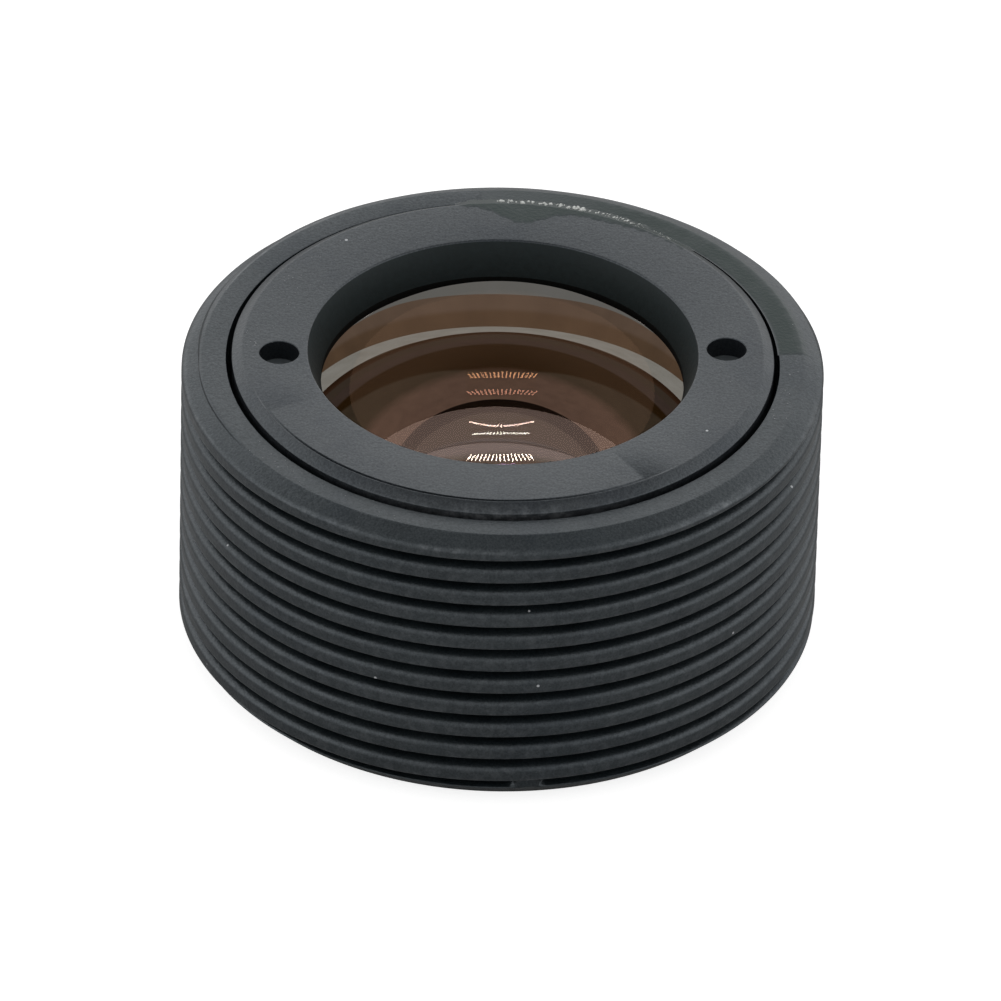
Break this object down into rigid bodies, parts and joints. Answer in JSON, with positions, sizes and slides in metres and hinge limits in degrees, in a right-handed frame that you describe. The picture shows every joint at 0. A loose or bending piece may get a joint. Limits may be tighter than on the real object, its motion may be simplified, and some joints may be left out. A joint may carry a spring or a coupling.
{
  "type": "security camera lens",
  "caption": "Short board camera lens: a black metal barrel threaded over its full height, a retaining ring with spanner holes and a deep front glass over a small stack of inner lenses.",
  "frame": {"origin": "middle of the rear face of the barrel, on which the lens stands", "axes": "+Z is the optical axis, from the rear face towards the front glass; +X points close to one of the two spanner holes"},
  "size_m": [0.012, 0.012, 0.0065],
  "materials": {
    "barrel_black": "satin black anodised",
    "ring_black": "satin black anodised",
    "front_glass": "coated, clear",
    "inner_glass": "coated, clear",
    "filter_glass": "coated, reddish by reflection",
    "spacer_black": "matt black anodised",
    "stop_black": "matt black film",
    "adhesive": "dark, semi-gloss"
  },
  "bodies": {
    "root": {"barrel": "barrel_black", "retaining_ring": "ring_black", "front_lens": "front_glass", "front_spacer": "spacer_black", "second_lens": "inner_glass", "aperture_stop": "stop_black", "rear_lens": "inner_glass", "rear_filter": "filter_glass", "filter_adhesive": "adhesive", "lock_adhesive": "adhesive"}
  },
  "joints": []
}
